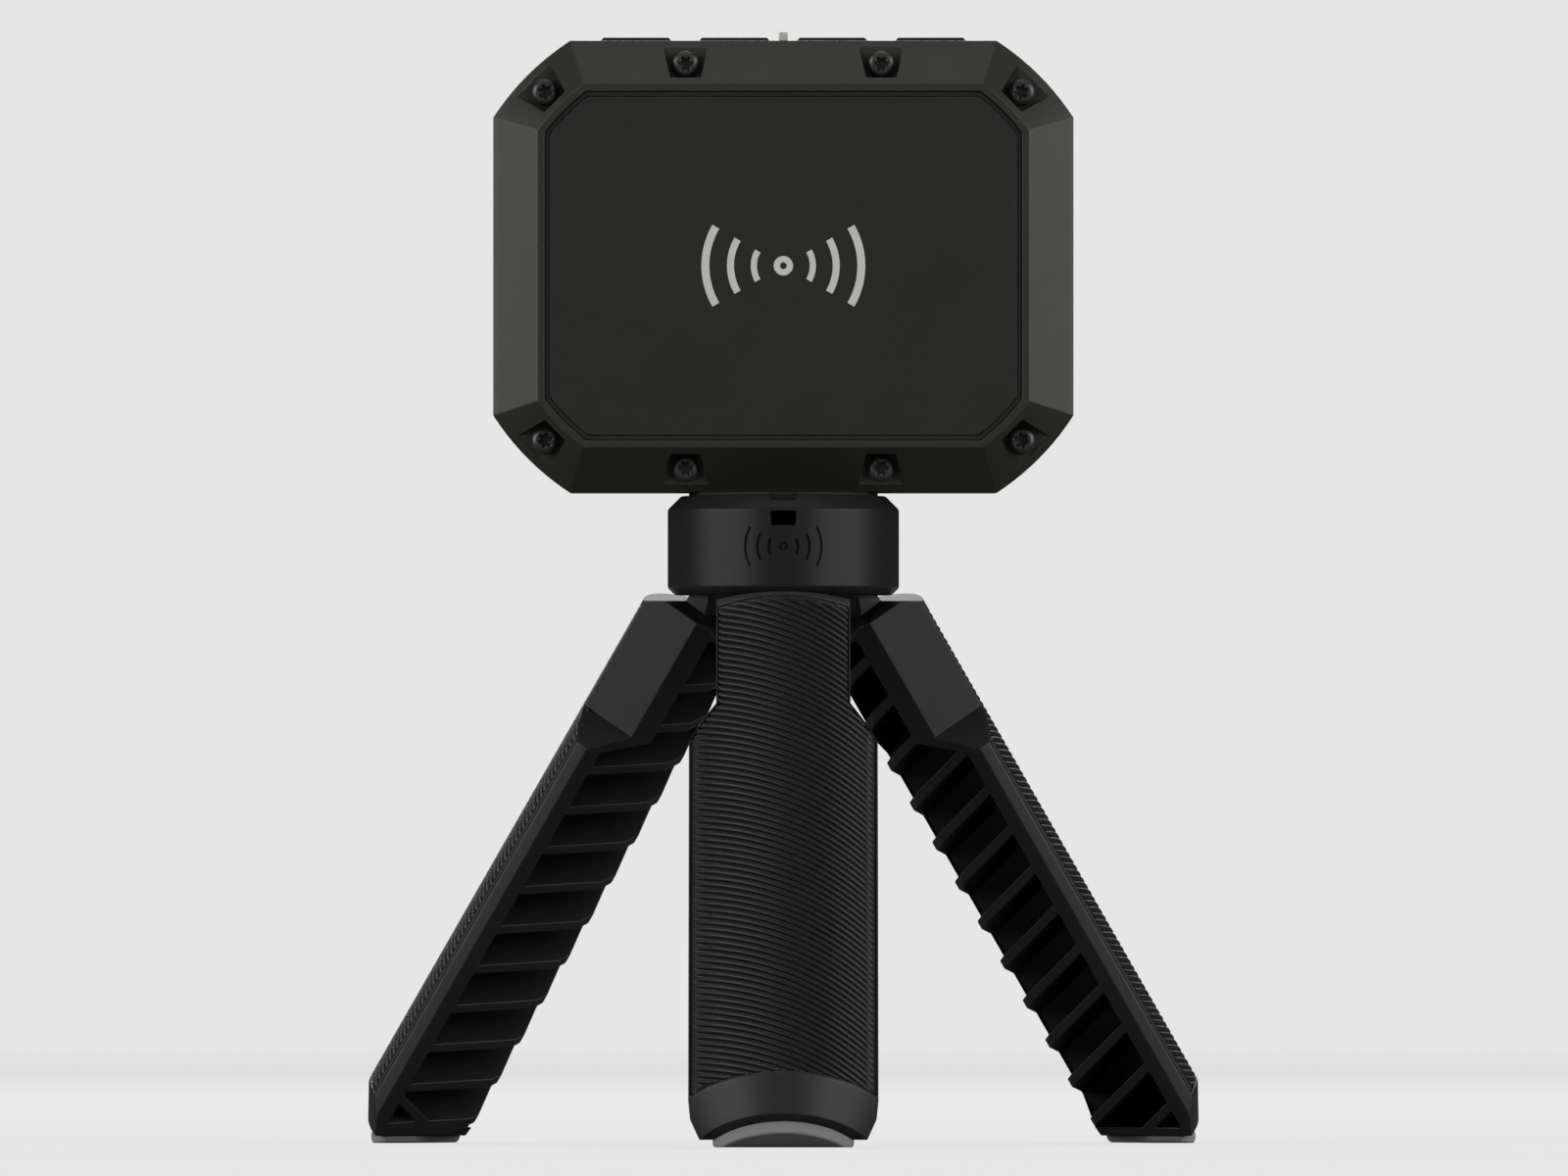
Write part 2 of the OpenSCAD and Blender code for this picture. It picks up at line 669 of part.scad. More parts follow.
collar();
leg_hub();
hub_screws();
mount_stud();
leg_pins();
friction_washers();
front_leg_frame();
front_leg_grip();
front_leg_foot();
right_leg_frame();
right_leg_grip();
right_leg_foot();
left_leg_frame();
left_leg_grip();
left_leg_foot();
mount_pad();
front_bezel();
bezel_screws();
radome_panel();
panel_gasket();
radar_board();
antenna_patches();
shield_cans();
rear_housing();
housing_seal();
thread_insert();
top_pads();
sight_rib();
battery();
battery_tray();
battery_tabs();
main_board();
board_chips();
board_screws();
flex_cable();
flex_connectors();
usb_socket();
usb_socket_tongue();
usb_cap_pin();
power_switch();
button_seal();
status_led();
light_pipe();
power_button();
usb_cap();
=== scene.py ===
"""Looks of the launch monitor: camera, light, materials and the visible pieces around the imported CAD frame.

Sizes of pieces are in millimetres, and mesh_from() turns them into metres. Places come from the frame.
The camera, the lights and the floor are in metres.
"""
import json
import math

import bmesh
import bpy
import numpy as np
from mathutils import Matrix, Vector


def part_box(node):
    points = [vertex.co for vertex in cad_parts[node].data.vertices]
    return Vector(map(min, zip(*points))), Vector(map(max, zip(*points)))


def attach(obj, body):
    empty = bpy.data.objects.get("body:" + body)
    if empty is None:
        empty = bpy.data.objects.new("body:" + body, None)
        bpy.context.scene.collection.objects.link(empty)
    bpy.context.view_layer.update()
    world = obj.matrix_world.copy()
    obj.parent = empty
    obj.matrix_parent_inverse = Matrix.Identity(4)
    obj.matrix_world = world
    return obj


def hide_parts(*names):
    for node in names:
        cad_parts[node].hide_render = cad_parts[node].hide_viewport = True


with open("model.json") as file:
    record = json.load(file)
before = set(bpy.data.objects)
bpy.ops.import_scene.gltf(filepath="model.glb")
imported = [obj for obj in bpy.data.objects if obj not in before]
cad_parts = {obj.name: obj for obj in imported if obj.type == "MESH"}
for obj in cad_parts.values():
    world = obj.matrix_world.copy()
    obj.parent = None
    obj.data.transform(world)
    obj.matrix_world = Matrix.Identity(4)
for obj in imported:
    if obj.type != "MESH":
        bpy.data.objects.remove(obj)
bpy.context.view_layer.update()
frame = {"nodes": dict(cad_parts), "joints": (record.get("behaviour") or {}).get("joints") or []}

MM = 0.001
NODES = frame["nodes"]
JOINTS = {joint["name"]: joint for joint in frame["joints"]}


# ---------------------------------------------------------------- places taken from the frame


def low(node):
    """Lowest corner of a CAD node, in millimetres."""
    return np.array(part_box(node)[0]) / MM


def high(node):
    """Highest corner of a CAD node, in millimetres."""
    return np.array(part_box(node)[1]) / MM


AXIS_Y = (low("collar")[1] + high("collar")[1]) / 2
HEAD_Z = (high("rear_housing")[2] + low("rear_housing")[2]) / 2
PANEL_Y = low("radome_panel")[1]

LEG_TURN = {"front_leg": -90, "right_leg": 30, "left_leg": 150}
LEG_OPEN = math.radians(JOINTS["front_leg_fold"]["range_deg"][1])
PIN = np.array(JOINTS["front_leg_fold"]["pos_m"]) / MM
LEG_TOP_Z = PIN[2] - (AXIS_Y - PIN[1]) * math.tan(LEG_OPEN / 2)


# ---------------------------------------------------------------- camera, light and floor

CAMERA_AWAY = 5.0       # in front of the stand's axis
CAMERA_ASIDE = 0.0001   # to the right of it
CAMERA_HEIGHT = 0.036
TARGET_HEIGHT = 0.0854
SHOWN_WIDTH = 0.2408    # across the picture, at the stand's axis
SENSOR_WIDTH = 36       # in millimetres, as Blender takes it

# Softboxes: name, place, width and height, power in watts
SOFTBOXES = (
    ("left_box", (-1.3, -0.75, 0.4), (1.7, 1.2), 30),
    ("right_box", (1.3, -0.75, 0.4), (1.7, 1.2), 30),
    ("top_box", (0, -0.1, 1.4), (1.2, 0.9), 3.5),
    ("front_box", (0.2, -3.0, 0.9), (1.2, 0.8), 2),
    ("back_box", (0, 1.4, 1.2), (1.8, 0.9), 26),
)
LIGHT_AIM = (0, 0, 0.1)

PAPER = 0.791           # brightness of the pale background
PAPER_LIGHT = 0.03      # share of that brightness with which it lights the object
FLOOR_HALF = 30.0       # half the width of the floor
FLOOR_ALBEDO = 0.12
LAMP_SHARE = 0.12       # brightness that the lamps give the floor around the object
LAMP_REACH = (0.8, 4.2)  # where that brightness starts to fall off, and where it is gone


def make_camera():
    data = bpy.data.cameras.new("camera")
    data.sensor_width = SENSOR_WIDTH
    data.lens = SENSOR_WIDTH * CAMERA_AWAY / SHOWN_WIDTH
    data.clip_start = 0.1
    data.clip_end = 100
    camera = bpy.data.objects.new("camera", data)
    bpy.context.scene.collection.objects.link(camera)
    camera.location = (CAMERA_ASIDE, AXIS_Y * MM - CAMERA_AWAY, CAMERA_HEIGHT)
    tilt = math.atan((TARGET_HEIGHT - CAMERA_HEIGHT) / CAMERA_AWAY)
    camera.rotation_euler = (math.pi / 2 + tilt, 0, 0)
    bpy.context.scene.camera = camera


def make_softbox(name, place, size, power):
    data = bpy.data.lights.new(name, "AREA")
    data.shape = "RECTANGLE"
    data.size, data.size_y = size
    data.energy = power
    light = bpy.data.objects.new(name, data)
    bpy.context.scene.collection.objects.link(light)
    light.location = place
    aim = Vector(LIGHT_AIM) - Vector(place)
    light.rotation_euler = aim.to_track_quat("-Z", "Y").to_euler()


def make_background():
    """Pale paper all around, bright to look at, that gives the object only a little light."""
    world = bpy.data.worlds.new("studio")
    world.use_nodes = True
    tree = world.node_tree
    background = tree.nodes["Background"]
    background.inputs["Color"].default_value = (PAPER, PAPER, PAPER, 1)
    paths = tree.nodes.new("ShaderNodeLightPath")
    strength = map_range(tree, paths.outputs["Is Camera Ray"], to_span=(PAPER_LIGHT, 1))
    tree.links.new(strength.outputs["Result"], background.inputs["Strength"])
    bpy.context.scene.world = world


def make_light():
    for box in SOFTBOXES:
        make_softbox(*box)
    make_background()
    bpy.context.scene.view_settings.view_transform = "Standard"


def make_floor():
    mesh = bpy.data.meshes.new("floor")
    corners = [(-1, -1), (1, -1), (1, 1), (-1, 1)]
    mesh.from_pydata([(x * FLOOR_HALF, y * FLOOR_HALF, 0) for x, y in corners], [], [(0, 1, 2, 3)])
    floor = bpy.data.objects.new("floor", mesh)
    bpy.context.scene.collection.objects.link(floor)
    material, shader = new_material("floor_paper", [FLOOR_ALBEDO] * 3, 0.9)
    shader.inputs["Specular IOR Level"].default_value = 0.0
    shader.inputs["Emission Color"].default_value = (1, 1, 1, 1)
    tree = material.node_tree
    # The paper glows a little more where the lamps reach it less, so it looks even
    coordinates = tree.nodes.new("ShaderNodeTexCoord")
    reach = tree.nodes.new("ShaderNodeVectorMath")
    reach.operation = "LENGTH"
    tree.links.new(coordinates.outputs["Object"], reach.inputs[0])
    even = map_range(tree, reach.outputs["Value"], LAMP_REACH, (PAPER - LAMP_SHARE, PAPER))
    even.interpolation_type = "SMOOTHSTEP"
    paths = tree.nodes.new("ShaderNodeLightPath")
    glow = map_range(tree, paths.outputs["Is Camera Ray"])
    tree.links.new(even.outputs["Result"], glow.inputs["To Max"])
    tree.links.new(glow.outputs["Result"], shader.inputs["Emission Strength"])
    mesh.materials.append(material)


# ---------------------------------------------------------------- materials


GRAIN_SPAN = (0.3, 0.7)     # the part of a noise texture's values that the gloss follows
GLOSS_SPREAD = 0.05         # how far the roughness strays with it
TRACK_GRID = 9.0            # scale of a circuit board's tracks and holes, in millimetres
HOLE_GRID = 3.1


def new_material(name, colour, roughness, metallic=0.0):
    """A plain material, and its shader."""
    material = bpy.data.materials.new(name)
    material.use_nodes = True
    shader = material.node_tree.nodes["Principled BSDF"]
    shader.inputs["Base Color"].default_value = (*colour, 1)
    shader.inputs["Roughness"].default_value = roughness
    shader.inputs["Metallic"].default_value = metallic
    material.diffuse_color = (*colour, 1)
    return material, shader


def map_range(tree, value, from_span=(0, 1), to_span=(0, 1)):
    """A node that maps a value from one span to another."""
    node = tree.nodes.new("ShaderNodeMapRange")
    for socket, number in zip(("From Min", "From Max", "To Min", "To Max"), (*from_span, *to_span)):
        node.inputs[socket].default_value = number
    tree.links.new(value, node.inputs["Value"])
    return node


def object_place(tree, stretch=(1, 1, 1), turn=(0, 0, 0)):
    """The place on the object, stretched and turned, by which a texture is laid out."""
    coordinates = tree.nodes.new("ShaderNodeTexCoord")
    mapping = tree.nodes.new("ShaderNodeMapping")
    mapping.inputs["Scale"].default_value = stretch
    mapping.inputs["Rotation"].default_value = turn
    tree.links.new(coordinates.outputs["Object"], mapping.inputs["Vector"])
    return mapping.outputs["Vector"]


def noise(tree, size, stretch=(1, 1, 1)):
    """A noise texture whose spots are about size millimetres across."""
    texture = tree.nodes.new("ShaderNodeTexNoise")
    texture.inputs["Scale"].default_value = 1 / (size * MM)
    texture.inputs["Detail"].default_value = 3.0
    tree.links.new(object_place(tree, stretch), texture.inputs["Vector"])
    return texture.outputs["Fac"]


def mixed_colour(tree, factor, first, second):
    """A colour between two others, by a factor."""
    mix = tree.nodes.new("ShaderNodeMix")
    mix.data_type = "RGBA"
    mix.inputs["A"].default_value = (*first, 1)
    mix.inputs["B"].default_value = (*second, 1)
    tree.links.new(factor, mix.inputs["Factor"])
    return mix.outputs["Result"]


def surface(name, colour, roughness, grain=0.25, bump=0.01, vary=0.12, metallic=0.0, specular=0.5,
            stretch=(1, 1, 1), cloud=9.0):
    """A moulded or machined surface with a fine texture, and a colour that varies a little.

    In millimetres: grain and bump are the width and height of the texture, cloud the width of the
    colour's patches.
    """
    material, shader = new_material(name, colour, roughness, metallic)
    shader.inputs["Specular IOR Level"].default_value = specular
    tree = material.node_tree
    fine = noise(tree, grain, stretch)
    broad = noise(tree, cloud)
    darker = [c * (1 - vary) for c in colour]
    lighter = [min(c * (1 + vary), 1) for c in colour]
    tree.links.new(mixed_colour(tree, broad, darker, lighter), shader.inputs["Base Color"])
    to_span = (roughness - GLOSS_SPREAD, min(roughness + GLOSS_SPREAD, 1))
    gloss = map_range(tree, fine, GRAIN_SPAN, to_span)
    tree.links.new(gloss.outputs["Result"], shader.inputs["Roughness"])
    relief = tree.nodes.new("ShaderNodeBump")
    relief.inputs["Distance"].default_value = bump * MM
    tree.links.new(fine, relief.inputs["Height"])
    tree.links.new(relief.outputs["Normal"], shader.inputs["Normal"])
    return material


def circuit_board(name, colour, copper):
    """Solder mask over faint straight tracks, with a scatter of small plated holes."""
    material = surface(name, colour, 0.32, grain=0.4, bump=0.004)
    tree = material.node_tree
    shader = tree.nodes["Principled BSDF"]
    upright = object_place(tree, turn=(math.pi / 2, 0, 0))
    tracks = tree.nodes.new("ShaderNodeTexBrick")
    tracks.inputs["Scale"].default_value = 1 / (TRACK_GRID * MM)
    tracks.inputs["Mortar Size"].default_value = 0.012
    tracks.inputs["Color1"].default_value = (*colour, 1)
    tracks.inputs["Color2"].default_value = (*[c * 0.85 for c in colour], 1)
    tracks.inputs["Mortar"].default_value = (*[c * 1.7 for c in colour], 1)
    tree.links.new(upright, tracks.inputs["Vector"])
    holes = tree.nodes.new("ShaderNodeTexVoronoi")
    holes.inputs["Scale"].default_value = 1 / (HOLE_GRID * MM)
    tree.links.new(upright, holes.inputs["Vector"])
    edge = map_range(tree, holes.outputs["Distance"], (0.1, 0.13), (1, 0))
    mix = tree.nodes.new("ShaderNodeMix")
    mix.data_type = "RGBA"
    mix.inputs["B"].default_value = (*copper, 1)
    tree.links.new(edge.outputs["Result"], mix.inputs["Factor"])
    tree.links.new(tracks.outputs["Color"], mix.inputs["A"])
    tree.links.new(mix.outputs["Result"], shader.inputs["Base Color"])
    return material


def make_materials():
    steel = dict(metallic=1.0, grain=0.08, bump=0.003, stretch=(1, 6, 6))
    cans = dict(metallic=1.0, grain=0.5, bump=0.004, stretch=(8, 1, 1))
    gold = (0.75, 0.52, 0.2)
    clear = surface("clear_plastic", (0.85, 0.9, 0.92), 0.2, bump=0.002, vary=0.02)
    clear.node_tree.nodes["Principled BSDF"].inputs["Transmission Weight"].default_value = 0.6
    return {
        "stand_plastic": surface("stand_plastic", (0.0118, 0.0118, 0.012), 0.36, grain=0.16, specular=0.13),
        "leg_plastic": surface("leg_plastic", (0.0135, 0.0135, 0.0136), 0.44, grain=0.18, specular=0.24),
        "grip_rubber": surface("grip_rubber", (0.006, 0.006, 0.0061), 0.45, grain=0.12, specular=0.24),
        "foot_rubber": surface("foot_rubber", (0.16, 0.16, 0.161), 0.7, grain=0.2, specular=0.3),
        "inner_plastic": surface("inner_plastic", (0.008, 0.0085, 0.009), 0.6, specular=0.25),
        "steel": surface("steel", (0.42, 0.42, 0.42), 0.32, **steel),
        "screw_steel": surface("screw_steel", (0.015, 0.0146, 0.014), 0.4, grain=0.1, bump=0.004),
        "bronze": surface("bronze", (0.42, 0.27, 0.12), 0.35, metallic=1.0, grain=0.1, bump=0.003),
        "black_rubber": surface("black_rubber", (0.01, 0.01, 0.01), 0.75, specular=0.25),
        "bezel_plastic": surface("bezel_plastic", (0.0152, 0.0145, 0.0108), 0.44, grain=0.22, bump=0.014,
                                 specular=0.36),
        "panel_plastic": surface("panel_plastic", (0.0112, 0.0106, 0.0088), 0.5, grain=0.14, bump=0.008,
                                 specular=0.28, cloud=14.0),
        "gasket_rubber": surface("gasket_rubber", (0.008, 0.008, 0.0076), 0.6, specular=0.25),
        "board_green": circuit_board("board_green", (0.01, 0.085, 0.035), gold),
        "board_blue": circuit_board("board_blue", (0.006, 0.04, 0.11), gold),
        "gold": surface("gold", gold, 0.28, metallic=1.0, grain=0.1, bump=0.002),
        "can_steel": surface("can_steel", (0.55, 0.56, 0.57), 0.3, **cans),
        "housing_plastic": surface("housing_plastic", (0.02, 0.0193, 0.0165), 0.46, grain=0.24, bump=0.016,
                                   specular=0.34),
        "seal_rubber": surface("seal_rubber", (0.55, 0.1, 0.03), 0.6),
        "brass": surface("brass", (0.6, 0.42, 0.16), 0.3, metallic=1.0, grain=0.1, bump=0.003),
        "pad_rubber": surface("pad_rubber", (0.009, 0.009, 0.009), 0.7, specular=0.25),
        "grey_plastic": surface("grey_plastic", (0.33, 0.33, 0.325), 0.45, bump=0.006),
        "battery_wrap": surface("battery_wrap", (0.24, 0.32, 0.4), 0.38, grain=1.6, bump=0.02),
        "nickel": surface("nickel", (0.6, 0.58, 0.53), 0.28, **steel),
        "chip_resin": surface("chip_resin", (0.009, 0.009, 0.01), 0.5, grain=0.1, bump=0.006),
        "flex_film": surface("flex_film", (0.42, 0.18, 0.04), 0.3, grain=0.8, bump=0.004),
        "connector_plastic": surface("connector_plastic", (0.75, 0.7, 0.58), 0.5, bump=0.004),
        "switch_metal": surface("switch_metal", (0.5, 0.5, 0.5), 0.3, **steel),
        "led_resin": surface("led_resin", (0.8, 0.8, 0.62), 0.3, bump=0.002, vary=0.04),
        "clear_plastic": clear,
        "button_plastic": surface("button_plastic", (0.034, 0.034, 0.033), 0.5, grain=0.15, specular=0.35),
        "cap_rubber": surface("cap_rubber", (0.0115, 0.0115, 0.0115), 0.65, grain=0.15, specular=0.28),
        "ink": surface("ink", (0.44, 0.44, 0.43), 0.55, grain=0.08, bump=0.004, vary=0.05),
    }


MATERIALS = make_materials()

# Each CAD node's material slot, and the body that its visible piece rides on
NODE_SLOTS = {
    "collar": "stand_plastic", "leg_hub": "inner_plastic", "hub_screws": "steel", "mount_stud": "steel",
    "leg_pins": "steel", "friction_washers": "bronze", "mount_pad": "black_rubber",
    "front_bezel": "bezel_plastic", "bezel_screws": "screw_steel", "radome_panel": "panel_plastic",
    "panel_gasket": "gasket_rubber", "radar_board": "board_green", "antenna_patches": "gold",
    "shield_cans": "can_steel", "rear_housing": "housing_plastic", "housing_seal": "seal_rubber",
    "thread_insert": "brass", "top_pads": "pad_rubber", "sight_rib": "grey_plastic",
    "battery": "battery_wrap", "battery_tray": "inner_plastic", "battery_tabs": "nickel",
    "main_board": "board_blue", "board_chips": "chip_resin", "board_screws": "steel",
    "flex_cable": "flex_film", "flex_connectors": "connector_plastic", "usb_socket": "can_steel",
    "usb_socket_tongue": "chip_resin", "usb_cap_pin": "steel", "power_switch": "switch_metal",
    "button_seal": "black_rubber", "status_led": "led_resin", "light_pipe": "clear_plastic",
    "power_button": "button_plastic", "usb_cap": "cap_rubber",
}
NODE_BODIES = {
    "front_bezel": "head", "bezel_screws": "head", "radome_panel": "head", "panel_gasket": "head",
    "rear_housing": "head", "top_pads": "head", "sight_rib": "head", "light_pipe": "head",
    "collar": "stand", "leg_hub": "stand", "mount_stud": "stand", "mount_pad": "pad",
    "power_button": "power_button", "usb_cap": "usb_cap",
}
for leg in LEG_TURN:
    for part, slot in (("_frame", "leg_plastic"), ("_grip", "grip_rubber"), ("_foot", "foot_rubber")):
        NODE_SLOTS[leg + part] = slot
        NODE_BODIES[leg + part] = leg


# ---------------------------------------------------------------- making pieces


WELD = 0.0005           # points this close together in a CAD node are one
FLAT = 0.2              # degrees up to which neighbouring faces are one flat face
BEVEL_WELD = 0.002      # points this close together in a rounded edge are one


def shade(obj, slot, crease=40):
    """Gives a piece its material, and smooth shading between edges sharper than crease degrees."""
    mesh = obj.data
    mesh.materials.clear()
    mesh.materials.append(MATERIALS[slot])
    mesh.polygons.foreach_set("use_smooth", [True] * len(mesh.polygons))
    mesh.set_sharp_from_angle(angle=math.radians(crease))
    weighted = obj.modifiers.new("even_normals", "WEIGHTED_NORMAL")
    weighted.keep_sharp = True


def add_object(name, mesh):
    obj = bpy.data.objects.new(name, mesh)
    bpy.context.scene.collection.objects.link(obj)
    return obj


def place(obj, node):
    """Makes a piece stand for a CAD node and ride on its body."""
    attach(obj, NODE_BODIES[node])
    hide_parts(node)


def mesh_from(name, vertices, faces, weld=0.0):
    """A mesh whose points closer than weld millimetres are joined, without loose points."""
    mesh = bpy.data.meshes.new(name)
    mesh.from_pydata((np.asarray(vertices) * MM).tolist(), [], faces)
    shape = bmesh.new()
    shape.from_mesh(mesh)
    bmesh.ops.remove_doubles(shape, verts=shape.verts, dist=weld * MM)
    loose = [v for v in shape.verts if not v.link_faces]
    bmesh.ops.delete(shape, geom=loose, context="VERTS")
    bmesh.ops.recalc_face_normals(shape, faces=shape.faces)
    shape.to_mesh(mesh)
    shape.free()
    return mesh


def carve(obj, cutter):
    """Cuts one object out of another and deletes the cutter."""
    cut = obj.modifiers.new("carve", "BOOLEAN")
    cut.object = cutter
    cut.solver = "EXACT"
    graph = bpy.context.evaluated_depsgraph_get()
    mesh = bpy.data.meshes.new_from_object(obj.evaluated_get(graph))
    obj.modifiers.remove(cut)
    obj.data = mesh
    bpy.data.objects.remove(cutter)


def rounded_copy(node, name, width, corner=25, shortest=0.0):
    """A CAD node's own shape as a new piece, with its edges rounded by width millimetres.

    Only edges sharper than corner degrees and longer than shortest millimetres are rounded.
    """
    shape = bmesh.new()
    shape.from_mesh(NODES[node].data)
    bmesh.ops.remove_doubles(shape, verts=shape.verts, dist=WELD * MM)
    bmesh.ops.dissolve_limit(shape, angle_limit=math.radians(FLAT), verts=shape.verts, edges=shape.edges)
    edges = [e for e in shape.edges if e.is_manifold and e.calc_face_angle() > math.radians(corner)
             and e.calc_length() > shortest * MM]
    bmesh.ops.bevel(shape, geom=edges, offset=width * MM, segments=3, profile=0.5,
                    affect="EDGES", clamp_overlap=False, miter_outer="ARC")
    bmesh.ops.remove_doubles(shape, verts=shape.verts, dist=BEVEL_WELD * MM)
    mesh = bpy.data.meshes.new(name)
    shape.to_mesh(mesh)
    shape.free()
    if "custom_normal" in mesh.attributes:
        mesh.attributes.remove(mesh.attributes["custom_normal"])
    return add_object(name, mesh)


def refine(node, name, width, corner=25, shortest=0.0):
    """Shows a CAD node by a rounded copy of its shape."""
    obj = rounded_copy(node, name, width, corner, shortest)
    shade(obj, NODE_SLOTS[node])
    place(obj, node)


# ---------------------------------------------------------------- legs


def leg_points(leg, out, side, along):
    """Points of an open leg: outwards from its own axis, sideways and along it, in millimetres."""
    turn = math.radians(LEG_TURN[leg])
    reach = out * math.cos(LEG_OPEN) + along * math.sin(LEG_OPEN)
    up = LEG_TOP_Z + out * math.sin(LEG_OPEN) - along * math.cos(LEG_OPEN)
    x = reach * math.cos(turn) - side * math.sin(turn)
    y = AXIS_Y + reach * math.sin(turn) + side * math.cos(turn)
    return np.stack([x, y, up], axis=-1)


GRIP_R = 17.75          # outer radius of the grips
GRIP_T = 1.3            # thickness of a grip
GRIP_TOP = 13.55        # where a grip starts and ends along its leg
GRIP_END = 100.35
GRIP_NECK = 9.9         # half width of its narrow and of its wide part
GRIP_HALF = 14.05
FLARE = (31.3, 35.5)    # where it widens, along the leg
GROOVE_PITCH = 0.967    # vertical distance between grooves
GROOVE_R = 40.0         # radius of the grooves' arcs
GROOVE_FROM = -13.3     # where across the grip the arcs run level
GROOVE_DEPTH = 0.5
# Places through one groove and ridge, as shares of the pitch, and the share of the depth there
GROOVE_AT = (0.0, 0.1, 0.2, 0.3, 0.46, 0.74, 1.0)
GROOVE_SHAPE = (0.22, 1.0, 1.0, 0.22, 0.04, 0.0, 0.22)
MARGIN = 1.2            # width over which the grooves fade out beside the smooth edge
LIP = 0.35              # width of that smooth edge
TOP_LIP = 0.4           # length of the smooth edge at the top, and of the grooves' fade below it
NECK_COLUMNS = 44       # columns of the grooved surface across the narrow part
WING_COLUMNS = 12       # and on each side of it, where the grip is wide
BELOW_FLOOR = 5.0       # the rows of grooves are laid out this far down, and cut off at the leg's end
SQUEEZED = 1e-4         # rows no further apart than this are squeezed flat


def grip_start(side):
    """Where along the leg the grip starts, at a distance sideways from its middle."""
    wider = np.clip((np.abs(side) - GRIP_NECK) / (GRIP_HALF - GRIP_NECK), 0, 1)
    return np.where(np.abs(side) > GRIP_NECK + 0.01, FLARE[0] + wider * (FLARE[1] - FLARE[0]), GRIP_TOP)


def grip_grid():
    """Rows and columns of the grooved surface: outwards, sideways and along the leg."""
    neck = np.linspace(-GRIP_NECK, GRIP_NECK, NECK_COLUMNS)
    wing = np.linspace(GRIP_NECK, GRIP_HALF, WING_COLUMNS + 1)[1:]
    side = np.concatenate([-wing[::-1], neck, wing])
    flat = np.sqrt(GRIP_R ** 2 - side ** 2)
    drop = GROOVE_R - np.sqrt(GROOVE_R ** 2 - (side - GROOVE_FROM) ** 2)
    rise = LEG_TOP_Z + flat * math.sin(LEG_OPEN)
    top = rise.max() - GRIP_TOP * math.cos(LEG_OPEN) + drop.max()
    rows = np.arange(math.ceil((top + BELOW_FLOOR) / GROOVE_PITCH))[:, None] + np.array(GROOVE_AT[:-1])
    level = top - rows.reshape(-1, 1) * GROOVE_PITCH
    along = np.clip((rise - level + drop) / math.cos(LEG_OPEN), grip_start(side), GRIP_END)
    phase = (top - rise - drop + along * math.cos(LEG_OPEN)) / GROOVE_PITCH % 1
    depth = np.interp(phase, GROOVE_AT, GROOVE_SHAPE)
    side = np.broadcast_to(side, along.shape)
    edge = np.where(along > FLARE[1], GRIP_HALF - np.abs(side) - LIP, MARGIN)
    fade = np.clip(edge / MARGIN, 0, 1) * np.clip((along - GRIP_TOP - TOP_LIP) / TOP_LIP, 0, 1)
    radius = GRIP_R - GROOVE_DEPTH * depth * fade
    angle = np.arcsin(side / GRIP_R)
    return radius * np.cos(angle), radius * np.sin(angle), along


def grip_faces(along):
    """Quads between the grid's rows, leaving out those squeezed flat at the ends."""
    rows, columns = along.shape
    parted = np.diff(along, axis=0) > SQUEEZED
    faces = []
    for i in range(rows - 1):
        for j in range(columns - 1):
            if parted[i, j] and parted[i, j + 1]:
                k = i * columns + j
                faces.append((k, k + columns, k + columns + 1, k + 1))
    return faces


def make_grips():
    out, side, along = grip_grid()
    faces = grip_faces(along)
    for leg in LEG_TURN:
        points = leg_points(leg, out, side, along).reshape(-1, 3)
        name = leg + "_grooved_grip"
        obj = add_object(name, mesh_from(name, points, faces, weld=0.02))
        shade(obj, "grip_rubber", crease=60)
        body = obj.modifiers.new("thickness", "SOLIDIFY")
        body.thickness = GRIP_T * MM
        body.offset = -1
        place(obj, leg + "_grip")


def make_legs():
    make_grips()
    for leg in LEG_TURN:
        refine(leg + "_frame", leg + "_moulding", 0.22)
        refine(leg + "_foot", leg + "_sole", 0.4)


# ---------------------------------------------------------------- the stand's top


THREAD_PITCH = 1.27
THREAD_R = 3.05
THREAD_DEPTH = 0.6
THREAD_SLOPE = 2.3      # steepness of its flanks: shares of the depth over shares of the pitch
FLANGE_T = 2.4          # height of the plain round part below the thread
STUD_CHAMFER = 0.75
STUD_SIDES = 48
RINGS_PER_PITCH = 10


def stud_rings():
    """Heights of the stud's rings of points, and the radii of each ring at its angles."""
    bottom = low("mount_stud")[2]
    top = high("mount_stud")[2]
    start = bottom + FLANGE_T
    flange = np.full(STUD_SIDES, high("mount_stud")[0])
    angle = np.arange(STUD_SIDES) * 2 * math.pi / STUD_SIDES
    rings = [(bottom, flange), (start, flange)]
    count = int((top - start) / THREAD_PITCH * RINGS_PER_PITCH)
    for k in range(count + 1):
        height = start + (top - start) * k / count
        phase = (height / THREAD_PITCH - angle / (2 * math.pi)) % 1
        depth = THREAD_DEPTH * np.clip(1.05 - THREAD_SLOPE * np.abs(phase - 0.5), 0, 1)
        chamfer = np.clip(THREAD_R - STUD_CHAMFER + (top - height), 0, THREAD_R)
        rings.append((height, np.minimum(THREAD_R - depth, chamfer)))
    return rings, angle


